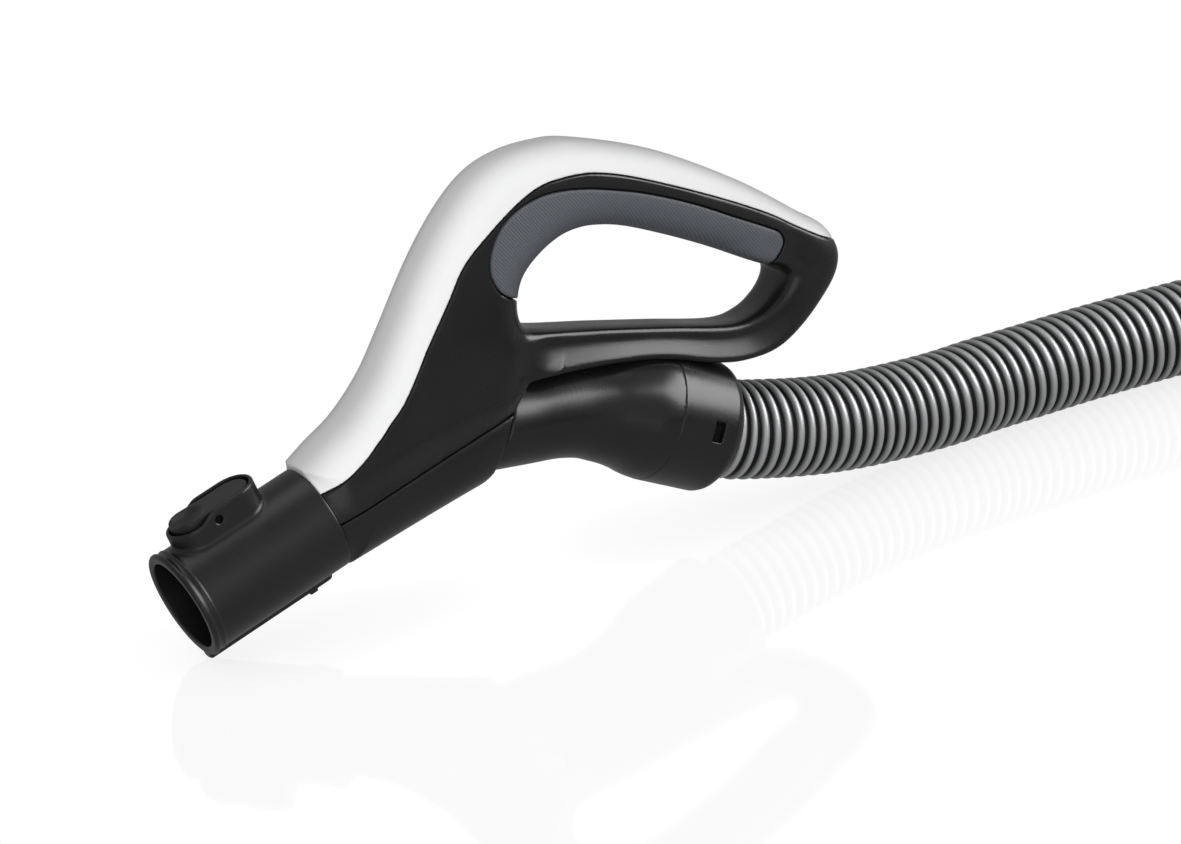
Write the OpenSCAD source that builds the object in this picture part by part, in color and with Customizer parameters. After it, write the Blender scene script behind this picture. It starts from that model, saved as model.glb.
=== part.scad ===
// Handgrip of a canister vacuum cleaner, with its suction hose and canister connector.
// The handle lies as on a floor: the symmetry plane is XZ and the floor is at z = -22.
// The origin is the centre of the wand socket's mouth, +X runs towards the hose, +Z is up.

/* [Wand socket] */
// Bore that takes the telescopic wand
bore_d = 35.5; // [35.5:0.1:36]
// Outside of the collar around the bore
collar_d = 41.4; // [41:0.1:42]
// Thickened rim at the mouth
rim_d = 43; // [42.5:0.1:43.5]
// Collar length from the mouth to the housing
collar_len = 61.5; // [60:0.5:63]
// Depth of the bore's guiding part, up to the latch
guide_depth = 33; // [30:0.5:33]
// Depth of the whole bore, up to the seal
bore_depth = 52; // [50:0.5:53]
// Rise of the socket's axis above the floor, in degrees
tube_slope = 19; // [18:0.5:20]

/* [Handle] */
// Width of the loop that the hand holds
loop_w = 31; // [28:1:34]
// Width of the loop's flat outer edge, before its rounding
edge_w = 21; // [18:1:24]
// Wall of the covers
wall = 2.2; // [1.8:0.1:2.6]
// Thickness of the soft grip over its core
grip_t = 2.5; // [2:0.1:3]

/* [Release button] */
// Width of the raised pod around the button
pod_w = 19; // [18:0.5:20]
// Height of the pod's top above the socket's axis
pod_h = 29.6; // [29.4:0.1:30]
// Diameter of the pivot pin
pin_d = 3; // [2.5:0.1:3.2]

/* [Hose] */
// Outside diameter over the corrugations
hose_d = 39.5; // [38:0.5:39.5]
// Largest diameter of the cuff
cuff_d = 51.5; // [51:0.5:52]
// Slope of the cuff's axis, in degrees
cuff_slope = -24; // [-26:1:-22]
// Radius of the half turn in the stored hose, at its middle
bend_r = 160; // [158:1:162]

/* [Canister connector] */
// Outside of the nozzle that plugs into the canister
nozzle_d = 34.8; // [34:0.1:35]
// Length of that nozzle
nozzle_len = 34; // [30:1:36]

/* [Hidden] */
$fn = 64;
fit = 0.05;                       // radial running clearance
relief = 0.5;                     // how much wider the bore is behind the guiding part
bore_r = bore_d / 2;
collar_r = collar_d / 2;
hose_r = hose_d / 2;
nozzle_r = nozzle_d / 2;
cuff_r = cuff_d / 2;
cuff_bore = 22.9;                 // inside of the cuff behind the hose's sleeve
sleeve_r = 21;                    // outside of the sleeve that turns in the cuff
catch_at = -12.5;                 // the snap ring's place along the cuff
groove = 0.6;                     // depth of the nozzle's waist, where the seal sits
nozzle_from = 61;                 // where the nozzle proper begins, past the latches
duct_r = 14.6;
body_r = 18.7;                    // the tube in the body, at its ends
body_end_r = 17;
duct_wall = 1.4;
duct_len = 66;

// --- Outlines in the XZ plane, hand-chosen points joined by smooth curves ---
back_points = [[51, 41], [72, 55], [94, 83], [108, 105], [122, 123], [136, 134.5], [150, 140],
    [166, 141.5], [181, 139.5], [214, 128.5], [248, 110.5], [273, 93.5], [284.3, 85.5], [289.6, 75],
    [286.9, 64.3], [278, 52.7], [266, 44.5], [254, 41.1], [240, 42], [230, 44.5], [222, 46.9],
    [213, 50.4], [204, 51.9], [195, 52.6], [182, 53.3], [172, 53.8], [160, 54.4], [146, 54]];
hole_points = [[148.2, 84.5], [151.2, 92.5], [158, 99], [166, 104.2], [174, 106], [183, 105.8],
    [196, 102.9], [214, 95.8], [234, 86.6], [254, 76.2], [262, 72.3], [262.8, 68.5], [258.3, 62.5], [250, 57.5],
    [237, 56], [209, 61.6], [183, 66.7], [155.5, 72], [148.8, 76.5]];
cover_points = [[45, 28.5], [62.3, 35.8], [72.8, 42.2], [84, 52], [93, 61], [103, 76], [114, 92], [122, 104],
    [133, 113.5], [147, 123], [158.5, 127.8], [172, 128.7], [181.5, 127.7], [195, 123.8], [215, 115.8],
    [235, 106.9], [255, 97], [268, 89], [280, 82.2], [288.5, 79.3], [300, 78.5]];
grip_points = [[139, 84], [136.6, 92], [135.8, 101], [138, 107.7], [144, 114.2], [153.6, 119.8],
    [164.5, 123.2], [176, 122.7], [184.5, 121.2], [201, 116.2], [221, 108.2], [241, 98.3], [256, 91.3],
    [262, 87.8], [264.2, 83.5], [262, 80], [254, 74]];
pivot = [24.5, 0, 25];            // axis that the release button rocks on, in the socket's frame
seam_top = [138, 53.5];           // where the elbow leaves the body
seam_low = [130.6, 19.3];
body_start = [58.1, 20];          // where the tube inside the body begins
body_slope = 12.5;
body_len = 84;
elbow_points = [[134.3, 38], [147, 37], [160, 36.4], [172, 34.8], [182, 32.5], [190, 30.6], [197, 28.3],
    [201.6, 26.3]];
elbow_radii = [17.4, 17.3, 17.6, 18.5, 20.3, 22.3, 24.2, 25.2];

// --- The hose's route, in XYZ, from the cuff to its half turn, and back to the connector ---
cuff_end = [229, 0, 14.2];
hose_route = [[230, 0, 13.8], [236, 0, 11.9], [244, 0, 9.9], [254, 0.3, 7.8], [266, 1, 5.3], [282, 2, 2.6],
    [300, 4, 0.3], [320, 6, -1.2], [342, 8, -2], [365, 11, -2], [390, 13, -2], [415, 15, -2], [440, 16, -2],
    [465, 16, -2], [500, 15, -2], [545, 12, -2], [600, 8.5, -2], [660, 6, -2], [720, 5, -2],
    [780, 5, -2]];
bend_centre = [780, 5 - bend_r, -2];
tail_y = 5 - 2 * bend_r;
tail_route = [[780, tail_y, -2], [740, tail_y, -2], [690, tail_y - 2, -2], [630, tail_y - 4, -2],
    [570, tail_y - 5, -2], [510, tail_y - 4, -2], [450, tail_y - 2, -2], [405, tail_y - 0.5, -1.6],
    [375, tail_y, -0.6], [360, tail_y, 0], [345, tail_y, 0]];
connector_at = [345, tail_y, 0];

// --- Curves ---
function bend(a, b, c, d, t) = 0.5 * (2 * b + (c - a) * t + (2 * a - 5 * b + 4 * c - d) * t * t
    + (3 * b - a - 3 * c + d) * t * t * t);
function open_curve(p, n) = [for (i = [0:len(p) - 2]) for (k = [0:n - 1])
    bend(p[max(i - 1, 0)], p[i], p[i + 1], p[min(i + 2, len(p) - 1)], k / n), p[len(p) - 1]];
function closed_curve(p, n) = let (m = len(p)) [for (i = [0:m - 1]) for (k = [0:n - 1])
    bend(p[(i + m - 1) % m], p[i], p[(i + 1) % m], p[(i + 2) % m], k / n)];
// The same clockwise outline, grown by d or shrunk where d is below 0
function grown(p, d) = let (m = len(p)) [for (i = [0:m - 1])
    let (t = p[(i + 1) % m] - p[(i + m - 1) % m]) p[i] + d * [-t[1], t[0]] / norm(t)];

outline = concat(open_curve(back_points, 2), [seam_top, seam_low, [64.7, 0], [52.3, 38]]);
hole = closed_curve(hole_points, 2);
cover_edge = open_curve(cover_points, 2);
cover_zone = concat(cover_edge, [[310, 160], [40, 160]]);
grip_zone = concat(open_curve(grip_points, 2), [[230, 75], [160, 78]]);

// --- Helpers ---
// A slab of an XZ outline, centred on the symmetry plane
module side(points, width) rotate([90, 0, 0]) linear_extrude(width, center = true) polygon(points);
// Frames whose X axis runs along a tube
module in_socket() rotate([0, -tube_slope, 0]) children();
module in_body() translate([body_start[0], 0, body_start[1]]) rotate([0, -body_slope, 0]) children();
module in_cuff() translate(cuff_end) rotate([0, -cuff_slope, 0]) children();
module in_connector() translate(connector_at) rotate([0, 0, 180]) children();
module rod(r, from, to, r2 = undef)
    translate([from, 0, 0]) rotate([0, 90, 0]) cylinder(h = to - from, r1 = r, r2 = is_undef(r2) ? r : r2);
module pipe(r_out, r_in, from, to) difference() {
    rod(r_out, from, to);
    rod(r_in, from - 1, to + 1);
}
// A stadium with its long side along X, standing on z = from
module stadium(x1, x2, width, from, to) translate([0, 0, from]) linear_extrude(to - from) {
    translate([x1 + width / 2, 0]) circle(d = width);
    translate([x2 - width / 2, 0]) circle(d = width);
    translate([x1 + width / 2, -width / 2]) square([x2 - x1 - width, width]);
}
// A round tube swept along points, with the radius at each
module swept(points, radii, sides) {
    n = len(points);
    heading = [for (i = [0:n - 1]) let (t = points[min(i + 1, n - 1)] - points[max(i - 1, 0)]) t / norm(t)];
    rings = [for (i = [0:n - 1]) let (t = heading[i], s = cross(t, [0, 0, 1]), a = s / norm(s), b = cross(a, t))
        for (k = [0:sides - 1]) points[i] + radii[i] * (cos(360 * k / sides) * a + sin(360 * k / sides) * b)];
    faces = concat([[for (k = [sides - 1:-1:0]) k]], [[for (k = [0:sides - 1]) (n - 1) * sides + k]],
        [for (i = [0:n - 2]) for (k = [0:sides - 1]) let (a = i * sides + k, b = i * sides + (k + 1) % sides)
            [b, a + sides, a]],
        [for (i = [0:n - 2]) for (k = [0:sides - 1]) let (a = i * sides + k, b = i * sides + (k + 1) % sides)
            [b + sides, a + sides, b]]);
    polyhedron(points = rings, faces = faces);
}

// --- The handle's outer mass, from which the shells are cut ---
module handle_mass() difference() {
    union() {
        side(outline, edge_w);
        side(grown(outline, -4), loop_w);
    }
    side(hole, loop_w + 1);
}
module handle_solid() {
    handle_mass();
    difference() {
        in_body() rod(body_r, -1, body_len + 5, body_end_r);
        past_seam();
    }
}
module before_collar() in_socket() translate([collar_len - 100, -50, -50]) cube([100, 100, 100]);
module past_seam() side([2 * seam_low - seam_top, seam_top + 0.2 * (seam_top - seam_low), [300, 60], [300, -60]], 80);
module below_parting() in_body() translate([-20, -50, -60]) cube([140, 100, 60]);
// Space inside the housing: the tunnel of the duct and the channel of the top bar
module channel() {
    in_body() rod(duct_r + 0.1, -5, body_len + 5);
    intersection() {
        side(grown(outline, -wall - 1), edge_w - 2 * wall);
        difference() {
            side([[60, 40], [120, 55], [146, 62], [146, 90], [262, 90], [262, 160], [60, 160]], loop_w);
            side(grown(hole, 5.5), loop_w);
        }
    }
}

module main_housing() color([0.11, 0.11, 0.12]) difference() {
    handle_solid();
    side(cover_zone, 60);
    difference() {
        side(grip_zone, 60);
        side(grown(grip_zone, 1), loop_w - 2 * grip_t);
    }
    intersection() {
        side(grown(hole, grip_t), 60);
        side(grip_zone, 60);
    }
    before_collar();
    below_parting();
    channel();
}

module top_cover() color([0.93, 0.93, 0.93]) difference() {
    intersection() {
        handle_solid();
        side(cover_zone, 60);
    }
    intersection() {
        side(grown(outline, -wall), loop_w - 2 * wall - 6);
        side([[40, 20], [262, 20], [262, 160], [40, 160]], 60);
    }
    in_body() rod(duct_r + 0.1, -5, body_len + 5);
    before_collar();
}

module grip_insert() color([0.30, 0.31, 0.33]) difference() {
    intersection() {
        handle_mass();
        side(grip_zone, 60);
    }
    difference() {
        side(grown(grip_zone, 1), loop_w - 2 * grip_t);
        side(grown(hole, grip_t), 60);
    }
}

module lower_cover() color([0.12, 0.12, 0.13]) difference() {
    intersection() {
        handle_solid();
        below_parting();
    }
    in_body() rod(duct_r + 0.1, -5, body_len + 5);
    before_collar();
}

module front_collar() color([0.13, 0.13, 0.14]) in_socket() difference() {
    union() {
        rod(collar_r, 0, collar_len);
        rod(rim_d / 2, 0, 2.6);
        rod(rim_d / 2 - 0.4, 2.6, 3.4);
        stadium(7, 45, pod_w, 12, pod_h);
    }
    // The pod's front dips so that a thumb reaches the button
    translate([0, -20, 0]) rotate([-90, 0, 0]) linear_extrude(40)
        polygon([[0, -26.5], [17, -26.5], [26, -pod_h], [26, -40], [0, -40]]);
    stadium(8.8, 43.2, pod_w - 3.6, collar_r - 0.6, pod_h + 1);
    rod(bore_r, -1, guide_depth);
    rod(bore_r + relief, guide_depth, bore_depth);
    rod(duct_r + 1.8, bore_depth - 1, collar_len + 1);
    rod(bore_r + 1, bore_depth + 0.5, bore_depth + 4.5);
    translate([33, -4.4, 10]) cube([7, 8.8, 14]);
    translate(pivot) rotate([90, 0, 0]) cylinder(d = pin_d, h = 30, center = true);
}

module guide_rail() color([0.10, 0.10, 0.10]) in_socket() difference() {
    union() {
        translate([0.4, -3, -23.3]) cube([53.1, 6, 4]);
        translate([53.5, 0, -23.3]) cylinder(r = 3, h = 4);
        translate([45, -3.2, -24.1]) cube([3.4, 6.4, 4]);
        translate([0.4, 0, -20.6]) rotate([0, 90, 0]) cylinder(r = 3, h = 2.4);
    }
    rod(collar_r, 3.4, 70);
    rod(rim_d / 2 - 0.4, 2.6, 3.5);
    rod(rim_d / 2, -1, 2.7);
}

module wand_seal() color([0.16, 0.16, 0.17]) in_socket() difference() {
    rod(bore_r + 1, bore_depth + 0.6, bore_depth + 4.4);
    rod(duct_r + 1.2, bore_depth, bore_depth + 5);
}

module air_duct() color([0.2, 0.2, 0.21]) in_body() pipe(duct_r, duct_r - duct_wall, -3, duct_len);

// Soft ring that closes the gap between the duct and the slanting end of the elbow
module duct_seal() color([0.16, 0.16, 0.17]) difference() {
    in_body() pipe(duct_r, duct_r - 2, duct_len, body_len + 2);
    translate([-0.8, 0, 0]) past_seam();
}

module elbow_tube() color([0.12, 0.12, 0.13]) {
    route = [for (p = elbow_points) [p[0], 0, p[1]]];
    last = len(route) - 1;
    difference() {
        swept(route, elbow_radii, 24);
        swept(concat([2 * route[0] - route[1]], route, [2 * route[last] - route[last - 1]]),
            concat([15], [for (r = elbow_radii) r - 2.4], [22.8]), 24);
    }
}

module hose_cuff() color([0.13, 0.13, 0.14]) in_cuff() difference() {
    rotate([0, 90, 0]) rotate_extrude() polygon([[cuff_bore, -30], [cuff_r - 0.5, -30], [cuff_r, -29.4],
        [cuff_r, -4.3], [cuff_r - 0.6, -2.4], [cuff_r - 1.8, -1], [cuff_r - 3.3, -0.2], [sleeve_r + fit, 0],
        [sleeve_r + fit, -18], [17.6, -18], [17.6, -20.5], [cuff_bore, -20.5]]);
    for (s = [-1, 1]) translate([catch_at, s * 24, 0]) cube([4.4, 8, 8], center = true);
}

module snap_ring() color([0.08, 0.08, 0.08]) in_cuff() {
    pipe(sleeve_r + fit, 19.7, catch_at - 1.6, catch_at + 1.6);
    for (s = [-1, 1]) translate([catch_at, s * 22.5, 0]) cube([3.2, 3.4, 7.4], center = true);
}

module button_pin() color([0.5, 0.5, 0.52]) in_socket()
    translate(pivot) rotate([90, 0, 0]) cylinder(d = pin_d, h = pod_w - 2, center = true);

// Self-tapping screws hidden under the top cover
module housing_screws() color([0.55, 0.55, 0.57])
    for (p = [[96, 64], [128, 105], [168, 119.5]]) translate([p[0], 0, p[1]]) rotate([0, 45, 0]) {
        cylinder(d = 5.6, h = 2);
        translate([0, 0, -5]) cylinder(d = 2.8, h = 5.1);
    }

module release_button() color([0.09, 0.09, 0.10]) in_socket() difference() {
    union() {
        stadium(9.6, 42.4, pod_w - 5.2, 26.2, pod_h - 0.4);
        translate([19.5, -3.6, 22]) cube([22, 7.2, 5]);
        // Latch tooth that drops into the wand's catch
        translate([34, -3.6, 16.6]) cube([4.4, 7.2, 6]);
    }
    // Dished thumb rest
    translate([15.5, 0, pod_h + 17.6]) sphere(r = 19.5);
    translate(pivot) rotate([90, 0, 0]) cylinder(d = pin_d + 2 * fit, h = 30, center = true);
    translate([-1, -8, 20]) cube([13, 16, 7.4]);
}

module button_spring() color([0.7, 0.7, 0.72]) in_socket()
    translate([15, 0, collar_r - 0.6]) difference() {
        cylinder(r = 2.6, h = 6);
        translate([0, 0, -1]) cylinder(r = 1.8, h = 9);
    }

module hose_sleeve() color([0.15, 0.15, 0.16]) in_cuff() difference() {
    rod(sleeve_r, -17.6, 1);
    rod(18, -19, 2);
    pipe(22, 19.4, catch_at - 2.2, catch_at + 2.2);
}

module hose_lead() color([0.62, 0.63, 0.65]) swept(hose_route, [for (p = hose_route) hose_r], 12);

module hose_bend() color([0.62, 0.63, 0.65]) translate(bend_centre)
    rotate([0, 0, -90]) rotate_extrude(angle = 180) translate([bend_r, 0]) circle(r = hose_r);

module hose_tail() color([0.62, 0.63, 0.65]) swept(tail_route, [for (p = tail_route) hose_r], 12);

module connector_sleeve() color([0.13, 0.13, 0.14]) in_connector() difference() {
    union() {
        rod(20.4, 0, 6, 21.7);
        rod(21.7, 6, 30);
    }
    rod(nozzle_r - 1, -1, 4);
    rod(nozzle_r + 0.6 + fit, 4, 31);
    pipe(21, 17, 20, 23);
}

// Split ring that holds the connector in its sleeve and lets it turn
module connector_ring() color([0.08, 0.08, 0.08]) in_connector() pipe(21, nozzle_r - 0.4, 20.2, 22.8);

module connector_body() color([0.12, 0.12, 0.13]) in_connector() difference() {
    union() {
        rod(nozzle_r + 0.6, 4.3, 31);
        rod(21.5, 30.3, 47);
        rod(nozzle_r - groove, 46, nozzle_from + 1);
        rod(nozzle_r, nozzle_from, nozzle_from + nozzle_len);
    }
    rod(nozzle_r - 2.2, 0, 100);
    pipe(22, nozzle_r - 0.9, 19.6, 23.4);
    for (s = [-1, 1]) translate([39.5, s * 21.5, 0]) cube([15.4, 7, 12], center = true);
}

module connector_seal() color([0.16, 0.16, 0.17]) in_connector() pipe(nozzle_r + 1, nozzle_r - groove, 47, 49);

module latch(s) in_connector() {
    translate([38.5, s * 21.6, 0]) cube([12, 3.4, 10.8], center = true);
    translate([51.5, s * 20.6, 0]) cube([15, 1.6, 8], center = true);
    translate([58, s * 21.5, 0]) cube([2, 2.4, 8], center = true);
}
module latch_left() color([0.16, 0.16, 0.17]) latch(1);
module latch_right() color([0.16, 0.16, 0.17]) latch(-1);

main_housing();
top_cover();
grip_insert();
lower_cover();
front_collar();
guide_rail();
wand_seal();
air_duct();
duct_seal();
elbow_tube();
hose_cuff();
snap_ring();
button_pin();
housing_screws();
release_button();
button_spring();
hose_sleeve();
hose_lead();
hose_bend();
hose_tail();
connector_sleeve();
connector_ring();
connector_body();
connector_seal();
latch_left();
latch_right();
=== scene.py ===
"""Hose handgrip of a canister vacuum cleaner, with its hose and connector.

Shapes are worked out in millimetres in the frame of the CAD model and become metres when a mesh is made.
The moulded parts are implicit surfaces: each is a field that is below 0 inside the part.
"""
import math

import bpy
import numpy as np
import openvdb
from mathutils import Matrix


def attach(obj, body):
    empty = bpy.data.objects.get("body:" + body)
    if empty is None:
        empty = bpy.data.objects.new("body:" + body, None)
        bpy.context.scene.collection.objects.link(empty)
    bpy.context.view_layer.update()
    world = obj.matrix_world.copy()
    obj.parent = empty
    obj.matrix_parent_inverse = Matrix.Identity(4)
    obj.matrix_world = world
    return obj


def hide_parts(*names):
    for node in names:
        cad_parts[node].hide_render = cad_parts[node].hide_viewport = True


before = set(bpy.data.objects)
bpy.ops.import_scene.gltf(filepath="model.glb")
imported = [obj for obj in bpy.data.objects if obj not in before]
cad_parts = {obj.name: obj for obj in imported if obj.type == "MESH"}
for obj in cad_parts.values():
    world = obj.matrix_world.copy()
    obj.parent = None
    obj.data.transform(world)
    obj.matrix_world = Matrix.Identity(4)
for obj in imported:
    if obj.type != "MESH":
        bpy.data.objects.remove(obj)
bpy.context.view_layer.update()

MM = 0.001
FLOOR_Z = -22.25               # mm, just under the nozzle's rim
ROOM_LIGHT = 0.33              # of the dim room around the object
FLOOR_SHINE = 0.06             # share of the floor's brightness that mirrors what stands on it
SOCKET_SLOPE = math.radians(19)
BODY_SLOPE = math.radians(12.5)
BODY_START = (58.1, 20.0)      # XZ of the tube inside the body, at the collar
CUFF_SLOPE = math.radians(-24)
CUFF_END = (229.0, 14.2)       # XZ of the middle of the cuff's open end
CUFF_LEN = 29.7
COLLAR_R = 20.7
COLLAR_LEN = 61.5
BORE_R = 17.75                 # of the socket that takes the wand
BORE_DEPTH = 52
JOINT_GAP = 0.15               # left where two pieces of the handle butt together
POD = (7, 45, 9.5)             # start, end and half width of the button pod, along the collar
POD_WALL = 1.4
PIN_AT = (24.5, 25)            # the button's pivot, along the collar and above its axis
HOSE_R = 19.75


# ---------------------------------------------------------------- camera, floor and light
def aim(place, azimuth, elevation, roll):
    """A matrix for a camera or lamp at place (mm) that looks along -Z, back towards the origin."""
    a, e, r = map(math.radians, (azimuth, elevation, roll))
    back = np.array([-math.sin(a) * math.cos(e), -math.cos(a) * math.cos(e), math.sin(e)])
    level = np.array([math.cos(a), -math.sin(a), 0.0])
    lift = np.cross(back, level)
    right = math.cos(r) * level + math.sin(r) * lift
    up = np.cross(back, right)
    m = Matrix.Identity(4)
    for i in range(3):
        m[i][0], m[i][1], m[i][2], m[i][3] = right[i], up[i], back[i], place[i] * MM
    return m


def make_camera():
    data = bpy.data.cameras.new("camera")
    data.sensor_fit = "HORIZONTAL"
    data.sensor_width = 36.0
    data.lens = 125.74
    data.clip_end = 50.0
    camera = bpy.data.objects.new("camera", data)
    camera.matrix_world = aim((-551.6, -1322.7, 472.0), 28.83, 16.36, -5.82)
    bpy.context.collection.objects.link(camera)
    bpy.context.scene.camera = camera


def lamp(name, place, target, size, watts, shine=True, fill=True):
    """A softbox that is seen in glossy surfaces (shine), lights matt ones (fill), or both."""
    data = bpy.data.lights.new(name, "AREA")
    data.shape = "RECTANGLE"
    data.size, data.size_y = size
    data.energy = watts
    lamp_object = bpy.data.objects.new(name, data)
    away = np.array(place, float) - np.array(target, float)
    flat = math.hypot(away[0], away[1])
    azimuth = math.degrees(math.atan2(-away[0], -away[1]))
    elevation = math.degrees(math.atan2(away[2], flat))
    lamp_object.matrix_world = aim(place, azimuth, elevation, 0)
    lamp_object.visible_glossy = shine
    lamp_object.visible_diffuse = fill
    bpy.context.collection.objects.link(lamp_object)


def make_world():
    """White where the camera looks past the object or sees it mirrored in the floor, dim for all else."""
    world = bpy.data.worlds.new("studio")
    world.use_nodes = True
    nodes, links = world.node_tree.nodes, world.node_tree.links
    ray = nodes.new("ShaderNodeLightPath")
    seen = nodes.new("ShaderNodeMath")
    seen.operation = "MAXIMUM"
    links.new(ray.outputs["Is Camera Ray"], seen.inputs[0])
    links.new(ray.outputs["Transparent Depth"], seen.inputs[1])
    level = nodes.new("ShaderNodeMapRange")
    level.inputs["To Min"].default_value = ROOM_LIGHT
    level.inputs["To Max"].default_value = 1.0
    links.new(seen.outputs["Value"], level.inputs["Value"])
    links.new(level.outputs["Result"], nodes["Background"].inputs["Strength"])
    nodes["Background"].inputs["Color"].default_value = (1, 1, 1, 1)
    bpy.context.scene.world = world


def make_plane(name, z, material):
    """A large level plane for the stage, out of the object's own reflections and bounce light."""
    half = 20.0
    mesh = bpy.data.meshes.new(name)
    corners = [(-half, -half), (half, -half), (half, half), (-half, half)]
    mesh.from_pydata([(x, y, z * MM) for x, y in corners], [], [(0, 1, 2, 3)])
    plane = bpy.data.objects.new(name, mesh)
    bpy.context.collection.objects.link(plane)
    mesh.materials.append(material)
    plane.visible_glossy = False
    plane.visible_diffuse = False
    return plane


def make_studio():
    make_world()
    bpy.context.scene.view_settings.view_transform = "Standard"
    lamp("right_softbox", (1154, -597, 690), (200, 0, 40), (1.2, 0.75), 16, fill=False)
    lamp("overhead_softbox", (150, 100, 1400), (150, 0, 40), (1.2, 0.7), 1, fill=False)
    lamp("front_fill", (-350, -1400, 160), (150, 0, 50), (1.0, 1.0), 26, shine=False)
    floor = make_plane("floor", FLOOR_Z, floor_material())
    veil = make_plane("floor_veil", FLOOR_Z + 0.05, clear_material())


# ---------------------------------------------------------------- materials
def new_material(name):
    material = bpy.data.materials.new(name)
    material.use_nodes = True
    nodes, links = material.node_tree.nodes, material.node_tree.links
    return material, nodes, links, nodes["Principled BSDF"]


def object_coordinates(nodes, links, scale=(1, 1, 1), turn=(0, 0, 0)):
    place = nodes.new("ShaderNodeTexCoord")
    mapping = nodes.new("ShaderNodeMapping")
    mapping.inputs["Scale"].default_value = scale
    mapping.inputs["Rotation"].default_value = turn
    links.new(place.outputs["Object"], mapping.inputs["Vector"])
    return mapping.outputs["Vector"]


def noise(nodes, links, vector, scale, detail=3.0):
    texture = nodes.new("ShaderNodeTexNoise")
    texture.inputs["Scale"].default_value = scale
    texture.inputs["Detail"].default_value = detail
    links.new(vector, texture.inputs["Vector"])
    return texture.outputs["Fac"]


def spread_over(nodes, links, value, low, high):
    """Maps a 0.3 to 0.7 noise onto low to high."""
    ramp = nodes.new("ShaderNodeMapRange")
    ramp.inputs["From Min"].default_value = 0.3
    ramp.inputs["From Max"].default_value = 0.7
    ramp.inputs["To Min"].default_value = low
    ramp.inputs["To Max"].default_value = high
    links.new(value, ramp.inputs["Value"])
    return ramp.outputs["Result"]


def uneven_gloss(nodes, links, shader, value, middle, spread):
    """Roughness that wanders around its middle value with a noise."""
    links.new(spread_over(nodes, links, value, middle - spread, middle + spread), shader.inputs["Roughness"])


def mixed_colour(nodes, links, value, dark, light):
    ramp = nodes.new("ShaderNodeMix")
    ramp.data_type = "RGBA"
    ramp.inputs["A"].default_value = (*dark, 1)
    ramp.inputs["B"].default_value = (*light, 1)
    links.new(value, ramp.inputs["Factor"])
    return ramp.outputs["Result"]


def bump(nodes, links, shader, height, depth_mm):
    node = nodes.new("ShaderNodeBump")
    node.inputs["Distance"].default_value = depth_mm * MM
    links.new(height, node.inputs["Height"])
    links.new(node.outputs["Normal"], shader.inputs["Normal"])


def moulded(name, colour, roughness, grain_mm=0.35, grain_depth=0.02, shade=0.12, shine=0.5):
    """Moulded plastic: spark-eroded grain, slightly uneven gloss and colour."""
    material, nodes, links, shader = new_material(name)
    vector = object_coordinates(nodes, links)
    cloud = noise(nodes, links, vector, 35, 4)
    grain = noise(nodes, links, vector, 1 / (grain_mm * MM), 2)
    darker = tuple(c * (1 - shade) for c in colour)
    lighter = tuple(c * (1 + shade) for c in colour)
    links.new(mixed_colour(nodes, links, spread_over(nodes, links, cloud, 0, 1), darker, lighter),
              shader.inputs["Base Color"])
    uneven_gloss(nodes, links, shader, cloud, roughness, 0.03)
    shader.inputs["Specular IOR Level"].default_value = shine
    bump(nodes, links, shader, grain, grain_depth)
    return material


def metal(name, colour, roughness):
    material, nodes, links, shader = new_material(name)
    shader.inputs["Metallic"].default_value = 1.0
    vector = object_coordinates(nodes, links, scale=(1, 1, 12))
    streak = noise(nodes, links, vector, 900, 3)
    uneven_gloss(nodes, links, shader, streak, roughness, 0.06)
    links.new(mixed_colour(nodes, links, streak, tuple(0.85 * c for c in colour), colour),
              shader.inputs["Base Color"])
    bump(nodes, links, shader, streak, 0.01)
    return material


def ribbed_rubber(name, colour, roughness, pitch_mm):
    """Soft-touch grip with fine diagonal ribs across it."""
    material, nodes, links, shader = new_material(name)
    vector = object_coordinates(nodes, links, turn=(0, math.radians(38), 0))
    ribs = nodes.new("ShaderNodeTexWave")
    ribs.bands_direction = "X"
    ribs.inputs["Scale"].default_value = 1 / (pitch_mm * MM) * 2 * math.pi / 20
    ribs.inputs["Distortion"].default_value = 0.0
    links.new(vector, ribs.inputs["Vector"])
    cloud = noise(nodes, links, object_coordinates(nodes, links), 60, 4)
    links.new(mixed_colour(nodes, links, ribs.outputs["Fac"], tuple(0.78 * c for c in colour), colour),
              shader.inputs["Base Color"])
    uneven_gloss(nodes, links, shader, cloud, roughness, 0.04)
    bump(nodes, links, shader, ribs.outputs["Fac"], 0.09)
    return material


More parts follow.
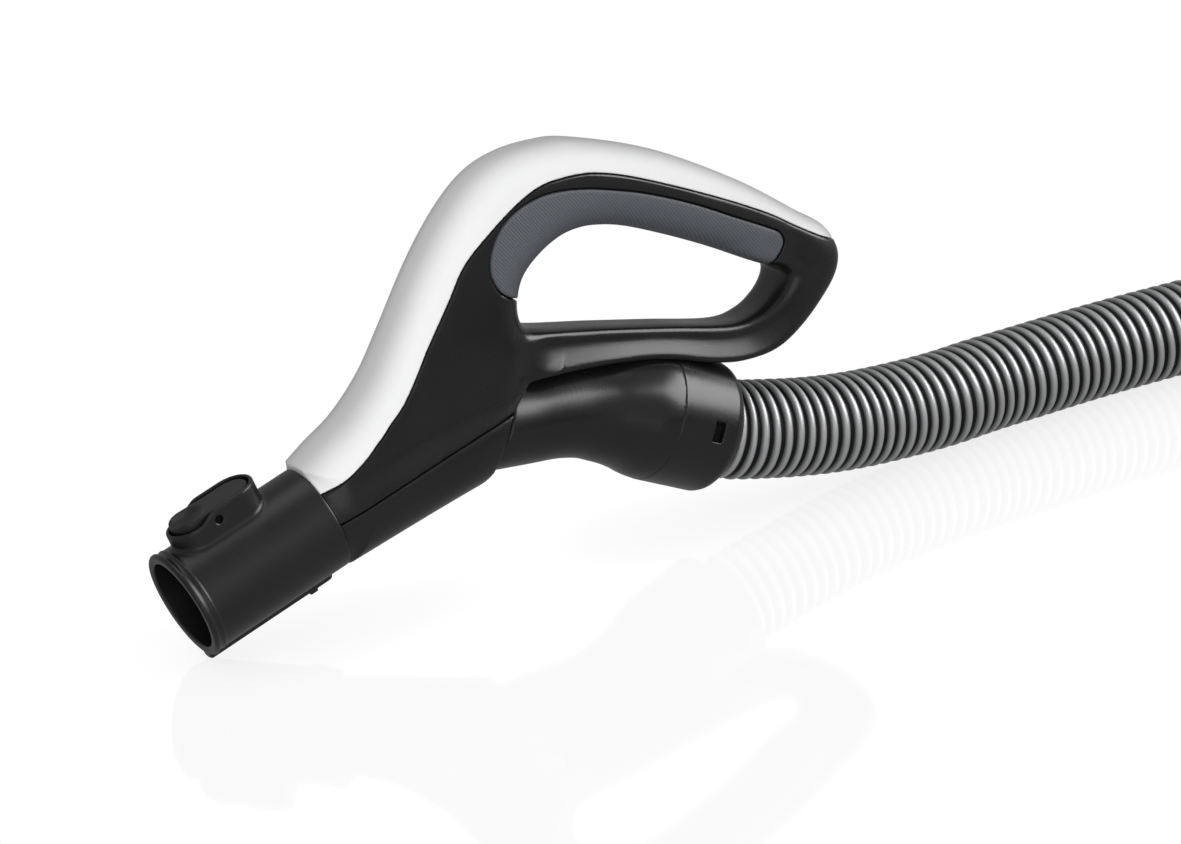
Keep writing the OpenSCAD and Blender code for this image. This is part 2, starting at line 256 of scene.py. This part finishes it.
def hose_material():
    """Silver ridges that darken to near-black grooves, by each point's stored height; the darkening down the
    flanks is painted shade that leaves a painted highlight line along each crest.
    """
    material, nodes, links, shader = new_material("hose_plastic")
    height = nodes.new("ShaderNodeAttribute")
    height.attribute_name = "ridge"
    ramp = nodes.new("ShaderNodeValToRGB")
    groove, crest = ramp.color_ramp.elements
    groove.position, groove.color = 0.35, (0.008, 0.008, 0.009, 1)
    crest.position, crest.color = 1.0, (0.45, 0.455, 0.46, 1)
    # This stop is painted shade down the ridge's flanks, so the crest reads as a painted highlight line.
    painted_flank_shade = ramp.color_ramp.elements.new(0.78)
    painted_flank_shade.color = (0.24, 0.243, 0.247, 1)
    links.new(height.outputs["Fac"], ramp.inputs["Fac"])
    cloud = noise(nodes, links, object_coordinates(nodes, links), 80, 4)
    worn = nodes.new("ShaderNodeMix")
    worn.data_type = "RGBA"
    worn.blend_type = "MULTIPLY"
    worn.inputs["Factor"].default_value = 0.25
    links.new(ramp.outputs["Color"], worn.inputs["A"])
    links.new(mixed_colour(nodes, links, cloud, (0.6, 0.6, 0.6), (1, 1, 1)), worn.inputs["B"])
    links.new(worn.outputs["Result"], shader.inputs["Base Color"])
    uneven_gloss(nodes, links, shader, cloud, 0.47, 0.05)
    shader.inputs["Metallic"].default_value = 0.6
    fine = noise(nodes, links, object_coordinates(nodes, links), 4000, 2)
    bump(nodes, links, shader, fine, 0.01)
    return material


def floor_material():
    """Lit white board with a faint mirror finish."""
    material, nodes, links, shader = new_material("floor_white")
    nodes.remove(shader)
    glow = nodes.new("ShaderNodeEmission")
    glow.inputs["Strength"].default_value = 1.005 - FLOOR_SHINE
    mirror = nodes.new("ShaderNodeBsdfGlossy")
    mirror.inputs["Color"].default_value = (FLOOR_SHINE, FLOOR_SHINE, FLOOR_SHINE, 1)
    mirror.inputs["Roughness"].default_value = 0.06
    both = nodes.new("ShaderNodeAddShader")
    links.new(glow.outputs["Emission"], both.inputs[0])
    links.new(mirror.outputs["BSDF"], both.inputs[1])
    links.new(both.outputs["Shader"], nodes["Material Output"].inputs["Surface"])
    return material


def clear_material():
    """Marks the rays that go to the floor, so the world stays white in it, and darkens it near the object."""
    material, nodes, links, shader = new_material("clear")
    nodes.remove(shader)
    near = nodes.new("ShaderNodeAmbientOcclusion")
    near.inputs["Distance"].default_value = 0.04
    near.samples = 8
    clear = nodes.new("ShaderNodeBsdfTransparent")
    shade = mixed_colour(nodes, links, near.outputs["AO"], (0.86, 0.86, 0.86), (1, 1, 1))
    links.new(shade, clear.inputs["Color"])
    links.new(clear.outputs["BSDF"], nodes["Material Output"].inputs["Surface"])
    return material


# ---------------------------------------------------------------- curves and fields
def curve(points, steps, closed=False):
    """Catmull-Rom curve through the points."""
    p = np.array(points, float)
    n = len(p)
    if closed:
        q = [p[(i + k) % n] for k in (-1, 0, 1, 2) for i in range(n)]
    else:
        q = [p[min(max(i + k, 0), n - 1)] for k in (-1, 0, 1, 2) for i in range(n - 1)]
    a, b, c, d = np.array(q).reshape(4, -1, p.shape[1])
    t = np.arange(steps)[:, None, None] / steps
    made = 0.5 * (2 * b + (c - a) * t + (2 * a - 5 * b + 4 * c - d) * t**2 + (3 * b - a - 3 * c + d) * t**3)
    made = made.transpose(1, 0, 2).reshape(-1, p.shape[1])
    return made if closed else np.vstack([made, p[-1]])


def outline_distance(x, z, polygon):
    """Signed distance to a closed polygon in the XZ plane, below 0 inside."""
    nearest = np.full(np.broadcast(x, z).shape, np.inf)
    inside = np.zeros(nearest.shape, bool)
    for (ax, az), (bx, bz) in zip(polygon, np.roll(polygon, -1, axis=0)):
        ex, ez = bx - ax, bz - az
        wx, wz = x - ax, z - az
        t = np.clip((wx * ex + wz * ez) / (ex * ex + ez * ez + 1e-12), 0, 1)
        nearest = np.minimum(nearest, (wx - ex * t) ** 2 + (wz - ez * t) ** 2)
        crosses = (az > z) != (bz > z)
        inside ^= crosses & (x < ex * (z - az) / (ez if ez else 1e-12) + ax)
    return np.where(inside, -1, 1) * np.sqrt(nearest)


def smooth_min(a, b, k):
    h = np.clip(0.5 + 0.5 * (b - a) / k, 0, 1)
    return b + (a - b) * h - k * h * (1 - h)


def smooth_max(a, b, k):
    return -smooth_min(-a, -b, k)


def step_between(v, low, high):
    t = np.clip((v - low) / (high - low), 0, 1)
    return t * t * (3 - 2 * t)


def pill_field(u, v, start, stop, half_width):
    """2D distance to a stadium whose long side lies along u."""
    a, b = start + half_width, stop - half_width
    return np.hypot(u - np.clip(u, a, b), v) - half_width


class Block:
    """A grid of points from low to high (mm), in a frame that is turned about Y and moved to place."""

    def __init__(self, low, high, cell, slope=0.0, place=(0.0, 0.0)):
        self.low, self.cell, self.slope, self.place = np.array(low, float), cell, slope, place
        axes = [np.arange(a, b + cell, cell, dtype=np.float32) for a, b in zip(low, high)]
        self.x, self.y, self.z = np.meshgrid(*axes, indexing="ij", sparse=True)

    def flat(self):
        """The XZ grid alone, for fields that don't change along Y."""
        return self.x, self.z

    def mesh(self, name, field, material, body):
        """The surface where the field is 0, as a Blender object."""
        limit = 3 * self.cell
        grid = openvdb.FloatGrid(limit)
        shape = np.broadcast(self.x, self.y, self.z).shape
        field = np.clip(np.broadcast_to(field, shape), -limit, limit).astype(np.float32)
        grid.copyFromArray(np.ascontiguousarray(field))
        points, quads = grid.convertToQuads(0.0)
        points = points.astype(float) * self.cell + self.low
        c, s = math.cos(self.slope), math.sin(self.slope)
        turned = points.copy()
        turned[:, 0] = points[:, 0] * c - points[:, 2] * s + self.place[0]
        turned[:, 2] = points[:, 0] * s + points[:, 2] * c + self.place[1]
        return add_mesh(name, turned * MM, quads[:, ::-1], material, body)


def add_mesh(name, points, faces, material, body):
    mesh = bpy.data.meshes.new(name)
    mesh.vertices.add(len(points))
    mesh.vertices.foreach_set("co", np.asarray(points, np.float32).ravel())
    faces = np.asarray(faces, np.int32)
    sides = faces.shape[1]
    mesh.loops.add(faces.size)
    mesh.loops.foreach_set("vertex_index", faces.ravel())
    mesh.polygons.add(len(faces))
    mesh.polygons.foreach_set("loop_start", np.arange(0, faces.size, sides, dtype=np.int32))
    mesh.polygons.foreach_set("use_smooth", np.ones(len(faces), bool))
    mesh.update(calc_edges=True)
    mesh.validate()
    piece = bpy.data.objects.new(name, mesh)
    bpy.context.collection.objects.link(piece)
    mesh.materials.append(material)
    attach(piece, body)
    return piece


def finish(piece, slot, *nodes):
    """Hides the CAD nodes that the piece takes the place of."""
    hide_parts(*nodes)


# ---------------------------------------------------------------- the handle's shape
BACK = [(51, 41), (60, 47.5), (72, 55.5), (84, 68), (94, 83), (108, 105), (122, 122.5), (136, 134.5),
        (150, 139.9), (166, 141.3), (181, 139.4), (214, 128.5), (248, 110.5), (273, 93.5), (284.3, 85.5),
        (289.6, 75), (286.9, 64.3), (277.2, 53.4), (265.3, 45.2), (254, 41.1), (240, 40.4), (230, 41.8),
        (222, 43.8), (213, 46.6), (204, 49), (195, 50.6), (182, 52), (172, 52.8), (160, 53.4), (146, 53)]
HOLE = [(147, 84.7), (150, 92.9), (157.2, 99.5), (166, 104.2), (174, 106), (183, 105.8), (196, 102.9),
        (214, 95.8), (234, 86.6), (254, 76.2), (262, 72.3), (262.8, 68.5), (258.3, 62.5), (250, 57.5),
        (237, 56), (209, 61.6), (183, 66.7), (155, 72), (147.7, 76.4)]
COVER_EDGE = [(45, 28.5), (62.3, 35.8), (72.8, 42.2), (84, 52), (93, 61), (103, 76), (114, 92),
              (122, 104), (133, 113.5), (147, 123), (158.5, 127.8), (172, 128.7), (181.5, 127.7),
              (195, 123.8), (215, 115.8), (235, 106.9), (255, 97), (268, 89), (280, 82.2),
              (288.5, 79.3), (300, 78.5)]
GRIP_EDGE = [(156, 83.5), (148.5, 84.8), (143, 86.8), (138.3, 89.4), (134.9, 92.9), (132.5, 99.8),
             (134.1, 107.9), (139, 115.4), (146.4, 120.7), (156.4, 123.8), (166, 124.2), (176, 122.9),
             (184.5, 121), (201, 116.2), (221, 108.2), (241, 98.3), (254.5, 91.6), (259.5, 88.5),
             (261.2, 84.3), (259.5, 80.5), (254, 74)]
# Between the body and the elbow tube, from the underside up and over into the arch under the bar
SEAM = [(127, 26), (135.5, 44.5), (139.2, 49), (144, 53.3), (149.5, 56.2), (157, 58)]
PARTING = ((58.0, 20.5), (138.0, 45.3))        # between the housing and the lower cover


def along_and_above(x, z, place, slope):
    """Distances along and above a sloping axis in the XZ plane that starts at place."""
    c, s = math.cos(slope), math.sin(slope)
    along = (x - place[0]) * c + (z - place[1]) * s
    above = -(x - place[0]) * s + (z - place[1]) * c
    return along, above


def side_of(x, z, line):
    """Distance to the left of a line in the XZ plane."""
    (ax, az), (bx, bz) = line
    length = math.hypot(bx - ax, bz - az)
    return ((bx - ax) * (z - az) - (bz - az) * (x - ax)) / length


def past_seam(x, z):
    """Distance to the side of the seam where the elbow is, below 0 there."""
    elbow_side = np.vstack([curve(SEAM, 6), [(160, 90), (340, 140), (340, -60), (78, -60)]])
    return outline_distance(x, z, elbow_side)


def handle_fields(block):
    """The handle's skin and the plane curves that divide it, on a block of points."""
    x, z = block.flat()
    outline = np.vstack([curve(BACK, 8), [(127, 22), (64.7, 2), (52.3, 36)]])
    outer = -outline_distance(x, z, outline)
    hole = outline_distance(x, z, curve(HOLE, 8, closed=True))
    depth = smooth_min(outer, hole, 3.0)
    thick = outer + hole
    # 1 in the bar under the hand opening, 0 elsewhere, where the section is the same above and below
    bar = step_between(z - 0.12 * (x - 150), 78, 66) * step_between(x, 140, 158) * step_between(x, 283, 240)
    rounding = np.clip(thick / 2, 4.0, 15.5) * (1 - bar) + 4.5 * bar
    power = 2.7 + 1.3 * bar
    down = np.clip(hole / np.maximum(thick, 1.0) - 0.3, 0, 0.7)
    flare = 6.5 * down**2 / (down + 0.15)
    near_collar = step_between(x, 110, 60)
    half_width = 11.5 + 4.0 * step_between(thick, 12, 30) + 2.5 * near_collar + bar * (flare - 1.5)
    # The section is a superellipse, rounded over the last stretch before each edge and flat between
    edge = np.clip(rounding - depth, 0, None) / rounding
    reach = (edge**power + (np.abs(block.y) / half_width) ** power) ** (1 / power)
    plate = (reach - 1) * 0.5 * (rounding + half_width)
    u, w = along_and_above(x, z, BODY_START, BODY_SLOPE)
    tube = np.hypot(w, block.y) - (18.7 - 1.7 * step_between(u, 0, 80))
    tube = smooth_max(tube, -past_seam(x, z), 0.3)
    skin = smooth_min(plate, tube, 5.0)
    collar_cut = COLLAR_LEN - (x * math.cos(SOCKET_SLOPE) + z * math.sin(SOCKET_SLOPE))
    skin = np.maximum(skin, collar_cut + JOINT_GAP)
    cover_zone = np.vstack([curve(COVER_EDGE, 8), [(320, 170), (30, 170)]])
    grip_zone = np.vstack([curve(GRIP_EDGE, 8), [(230, 75), (160, 78)]])
    return {
        "skin": skin,
        "cover": outline_distance(x, z, cover_zone),
        "grip": outline_distance(x, z, grip_zone),
        "parting": side_of(x, z, PARTING),
    }


def make_handle(materials):
    """Two covers, the soft grip and the housing: shells over one dark core, with fine grooves between."""
    cell = 0.55
    groove, grip_groove, edge_rounding = 0.22, 0.32, 0.5
    groove_depth, wall = 1.5, 2.2
    body_end = 150                                # no part of the lower cover reaches past this X
    block = Block((48, -22, -2), (296, 22, 146), cell)
    f = handle_fields(block)
    skin = f["skin"]
    shell = np.maximum(skin, -skin - wall)
    cover = smooth_max(shell, f["cover"] + groove, edge_rounding)
    finish(block.mesh("cover_shell", cover, materials["white"], "handle"), "cover_white", "top_cover")
    proud = np.maximum(skin - 0.2, -skin - wall)
    grip = smooth_max(proud, f["grip"] + grip_groove, 0.9)
    finish(block.mesh("soft_grip", grip, materials["grip"], "handle"), "grip_soft", "grip_insert")
    low = np.maximum(smooth_max(shell, f["parting"] + groove, edge_rounding), block.x - body_end)
    finish(block.mesh("lower_shell", low, materials["black"], "handle"), "housing_black", "lower_cover")
    under = np.where(block.x < body_end, groove - f["parting"], -100.0)
    housing = smooth_max(skin, groove - f["cover"], edge_rounding)
    housing = smooth_max(housing, grip_groove - f["grip"], edge_rounding)
    housing = np.minimum(smooth_max(housing, under, edge_rounding), skin + groove_depth)
    piece = block.mesh("housing_shell", housing, materials["black"], "handle")
    finish(piece, "housing_black", "main_housing")


# X and Z of the elbow's centreline, with its radius
ELBOW = [(134.3, 38, 17.4), (147, 37, 17.3), (160, 36.4, 17.6), (172, 34.8, 18.5), (182, 32.5, 20.3),
         (190, 30.6, 22.3), (197, 28.3, 24.2), (201.6, 26.3, 25.4), (206, 24.3, 25.7)]


def make_elbow(materials):
    cell = 0.6
    block = Block((124, -27, -4), (218, 27, 60), cell)
    x, z = block.flat()
    spine = curve(ELBOW, 6)
    field = np.full(np.broadcast(block.x, block.y, block.z).shape, 1e3, np.float32)
    for (ax, az, ar), (bx, bz, br) in zip(spine[:-1], spine[1:]):
        ex, ez = bx - ax, bz - az
        t = np.clip(((x - ax) * ex + (z - az) * ez) / (ex * ex + ez * ez), 0, 1)
        off = np.hypot(x - ax - ex * t, z - az - ez * t)
        field = np.minimum(field, np.hypot(off, block.y) - (ar + (br - ar) * t))
    field = smooth_max(field, past_seam(x, z) + JOINT_GAP, 0.4)
    along, _ = along_and_above(x, z, CUFF_END, CUFF_SLOPE)
    field = np.maximum(field, along + CUFF_LEN - 0.4)
    finish(block.mesh("elbow_shell", field, materials["black"], "handle"), "housing_black", "elbow_tube")


def make_cuff(materials):
    cell = 0.45
    block = Block((-32, -28, -28), (2, 28, 28), cell, CUFF_SLOPE, CUFF_END)
    u, v, w = block.x, block.y, block.z
    # Half of the cuff's section, as distances along its axis from the open end and out from the axis
    section = [(-CUFF_LEN, 18.2), (-CUFF_LEN, 25.3), (-29.3, 25.5), (-4.6, 25.5), (-2.8, 24.9), (-1.4, 23.6),
               (-0.4, 22.0), (-0.25, 21.3), (-18, 21.3), (-18, 18.2)]
    field = outline_distance(u, np.hypot(v, w), np.array(section)) - 0.25
    window_at, window_rise = -12.5, 0.8
    window = np.maximum(np.abs(u - window_at) - 2.2, np.abs(w - window_rise) - 4)
    window = np.maximum(window, 21.5 - np.abs(v))
    field = smooth_max(field, -window, 0.4)
    finish(block.mesh("cuff_shell", field, materials["black"], "handle"), "housing_black", "hose_cuff")


def pod_outline(u, v, inset):
    """Plan of the pod on top of the collar, or of what sits inset in it."""
    start, stop, half_width = POD
    return pill_field(u, v, start + inset, stop - inset, half_width - inset)


def make_collar(materials):
    cell = 0.4
    block = Block((-1.6, -22, -22), (63, 22, 33), cell, SOCKET_SLOPE)
    u, v, w = block.x, block.y, block.z
    r = np.hypot(v, w)
    tube = smooth_max(r - COLLAR_R, np.maximum(0.1 - u, u - COLLAR_LEN + JOINT_GAP), 0.7)
    rim = np.hypot(u - 1.25, r - 20.2) - 1.25
    lip = np.hypot(u - 4.4, r - 20.5) - 0.55
    tube = smooth_min(tube, np.minimum(rim, lip), 0.5)
    pod_top = 29.6 - 3.2 * step_between(u, 25.5, 16)
    pod = smooth_max(pod_outline(u, v, 0), w - pod_top, 1.1)
    pod = smooth_max(pod, 8 - w, 0.2)
    body = smooth_min(tube, pod, 1.6)
    well = np.maximum(pod_outline(u, v, POD_WALL), 20.0 - w)
    bore = np.where(u < BORE_DEPTH, r - BORE_R, r - 17.0)
    pin_hole = np.maximum(np.hypot(u - PIN_AT[0], w - PIN_AT[1]) - 1.55, 8.3 - np.abs(v))
    tooth_slot = np.maximum(np.maximum(np.abs(u - 36.5) - 3.5, np.abs(v) - 4.4), 10 - w)
    body = smooth_max(smooth_max(body, -well, 0.5), -bore, 0.5)
    body = np.maximum(smooth_max(body, -pin_hole, 0.3), -tooth_slot)
    finish(block.mesh("collar_shell", body, materials["collar"], "handle"), "collar_black", "front_collar")


def make_button(materials):
    cell = 0.3
    block = Block((8, -8, 21), (44, 8, 33), cell, SOCKET_SLOPE)
    u, v, w = block.x, block.y, block.z
    top = 29.0 + 0.4 * step_between(u, 30, 10)
    key = smooth_max(pod_outline(u, v, POD_WALL + 0.8), w - top, 1.2)
    key = smooth_max(key, 22.2 - w, 0.3)
    thumb_dish = 11.0 - np.sqrt((u - 15.6) ** 2 * 0.62 + v**2 * 1.15 + (w - 38.2) ** 2)
    key = smooth_max(key, thumb_dish, 0.5)
    finish(block.mesh("button_key", key, materials["button"], "release"), "button_black", "release_button")


def make_rail(materials):
    cell = 0.3
    block = Block((-0.5, -4.5, -24.5), (58, 4.5, -18), cell, SOCKET_SLOPE)
    u, v, w = block.x, block.y, block.z
    strip = smooth_max(pill_field(u, v, -4, 56.5, 3.0), np.abs(w + 21.3) - 1.95, 0.6)
    strip = smooth_max(strip, 0.5 - u, 0.6)
    stop = np.maximum(np.maximum(np.abs(u - 46.7) - 1.6, np.abs(v) - 3.1), np.abs(w + 22.1) - 1.9)
    foot = np.maximum(np.hypot(v, w + 20.65) - 2.9, np.abs(u - 1.7) - 1.2)
    rail = smooth_min(smooth_min(strip, stop, 0.6), foot, 0.5)
    rail = np.maximum(rail, COLLAR_R + 0.05 - np.hypot(v, w))
    finish(block.mesh("rail_strip", rail, materials["collar"], "handle"), "collar_black", "guide_rail")


# ---------------------------------------------------------------- the hose
HOSE_ROUTE = [(230, 0, 13.8), (236, 0, 11.9), (244, 0, 9.9), (254, 0.3, 7.8), (266, 1, 5.3), (282, 2, 2.6),
              (300, 4, 0.3), (320, 6, -1.2), (342, 8, -2), (365, 11, -2), (390, 13, -2), (415, 15, -2),
              (440, 16, -2), (465, 16, -2), (500, 15, -2), (545, 12, -2), (600, 8.5, -2), (660, 6, -2),
              (720, 5, -2), (780, 5, -2)]
BEND_R = 160
BEND_CENTRE = (780, 5 - BEND_R, -2)
TAIL_Y = 5 - 2 * BEND_R
TAIL_ROUTE = [(780, TAIL_Y, -2), (740, TAIL_Y, -2), (690, TAIL_Y - 2, -2), (630, TAIL_Y - 4, -2),
              (570, TAIL_Y - 5, -2), (510, TAIL_Y - 4, -2), (450, TAIL_Y - 2, -2), (405, TAIL_Y - 0.5, -1.6),
              (375, TAIL_Y, -0.6), (360, TAIL_Y, 0), (345, TAIL_Y, 0)]
PITCH = 5.9                    # of the corrugation
GROOVE = 2.1                   # depth between two ridges
RIB_HALF = 0.37                # half a ridge's width, as a share of the pitch
RINGS = 12                     # rings of points in one pitch


def hose_line():
    """The hose's centreline in mm, at even steps."""
    angle = np.radians(90 - np.linspace(0, 180, 90)[1:-1])
    turn = [(BEND_CENTRE[0] + BEND_R * math.cos(a), BEND_CENTRE[1] + BEND_R * math.sin(a), BEND_CENTRE[2])
            for a in angle]
    line = np.vstack([curve(HOSE_ROUTE, 8), turn, curve(TAIL_ROUTE, 8)])
    gone = np.concatenate([[0], np.cumsum(np.linalg.norm(np.diff(line, axis=0), axis=1))])
    count = int(gone[-1] / PITCH * RINGS)
    at = np.linspace(0, gone[-1], count)
    return np.stack([np.interp(at, gone, line[:, i]) for i in range(3)], axis=1), gone[-1]


def make_hose(materials):
    line, length = hose_line()
    sides = 64
    heading = np.gradient(line, axis=0)
    for _ in range(3):
        heading[1:-1] = (heading[:-2] + heading[1:-1] + heading[2:]) / 3
    heading /= np.linalg.norm(heading, axis=1)[:, None]
    across = np.cross(heading, (0, 0, 1))
    across /= np.linalg.norm(across, axis=1)[:, None]
    lift = np.cross(across, heading)
    angle = np.arange(sides) / sides * 2 * math.pi
    turns = np.arange(len(line))[:, None] / RINGS
    turns = turns + 1.5 * (1 - np.exp(-turns / 9))      # the rings sit closer together near the cuff
    phase = (turns + angle[None, :] / (2 * math.pi)) % 1.0
    from_middle = np.abs(phase - 0.5) / RIB_HALF
    height = np.sqrt(np.clip(1 - from_middle**2, 0, 1))
    # The first and last ridge are lower, where the hose goes into its cuff and its connector
    from_end = np.minimum(np.arange(len(line)), np.arange(len(line))[::-1])[:, None] / RINGS
    end_taper = 0.6 * np.clip(1 - from_end, 0, 1)
    radius = HOSE_R - 0.15 - GROOVE * (1 - height) - end_taper
    points = (line[:, None, :] + radius[:, :, None] * (np.cos(angle)[None, :, None] * across[:, None, :]
                                                       + np.sin(angle)[None, :, None] * lift[:, None, :]))
    rings = len(line)
    base = np.arange(rings - 1)[:, None] * sides + np.arange(sides)[None, :]
    following = np.arange(rings - 1)[:, None] * sides + (np.arange(sides)[None, :] + 1) % sides
    faces = np.stack([base, following, following + sides, base + sides], axis=2).reshape(-1, 4)
    hose = add_mesh("hose_tube", points.reshape(-1, 3) * MM, faces, materials["hose"], "hose")
    # The ridge height also drives the painted shade down the hose's flanks in its material.
    stored = hose.data.attributes.new("ridge", "FLOAT", "POINT")
    stored.data.foreach_set("value", height.astype(np.float32).ravel())
    finish(hose, "hose_silver", "hose_lead", "hose_bend", "hose_tail")
    path = [tuple(p * MM) for p in np.vstack([line[::RINGS * 2], line[-1]])]
    return hose, path, length * MM


# ---------------------------------------------------------------- assembly
def paint(material, *nodes):
    for name in nodes:
        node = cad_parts[name]
        node.data.materials.clear()
        node.data.materials.append(material)


materials = {
    "black": moulded("black_housing", (0.006, 0.006, 0.0063), 0.27),
    "collar": moulded("black_collar", (0.006, 0.006, 0.0063), 0.35),
    "white": moulded("white_cover", (0.74, 0.74, 0.745), 0.42, grain_depth=0.004, shade=0.01, shine=0.1),
    "grip": ribbed_rubber("grip_rubber", (0.075, 0.081, 0.095), 0.6, 1.05),
    "button": moulded("black_button", (0.006, 0.006, 0.0065), 0.38),
    # Darkest black: used on the snap ring, and on the button pin as painted shade so that the pin's end reads
    # as a dark hole.
    "black_and_hole_shade": moulded("darkest_black_and_hole_shade", (0.002, 0.002, 0.002), 0.8, shine=0.1),
    "hose": hose_material(),
    "seal": moulded("seal_rubber", (0.02, 0.02, 0.021), 0.7),
    "duct": moulded("duct_plastic", (0.05, 0.05, 0.052), 0.5),
    "steel": metal("bright_steel", (0.6, 0.6, 0.62), 0.3),
}
make_camera()
make_studio()
hose, hose_path, hose_length = make_hose(materials)
make_handle(materials)
make_elbow(materials)
make_cuff(materials)
make_collar(materials)
make_button(materials)
make_rail(materials)
paint(materials["black"], "hose_sleeve", "connector_sleeve", "connector_body", "connector_ring")
# The button pin sits nearly flush in the pod; its darkest black is painted shade of a hole.
paint(materials["black_and_hole_shade"], "snap_ring", "button_pin")
paint(materials["button"], "latch_left", "latch_right")
paint(materials["seal"], "wand_seal", "duct_seal", "connector_seal")
paint(materials["duct"], "air_duct")
paint(materials["steel"], "housing_screws", "button_spring")
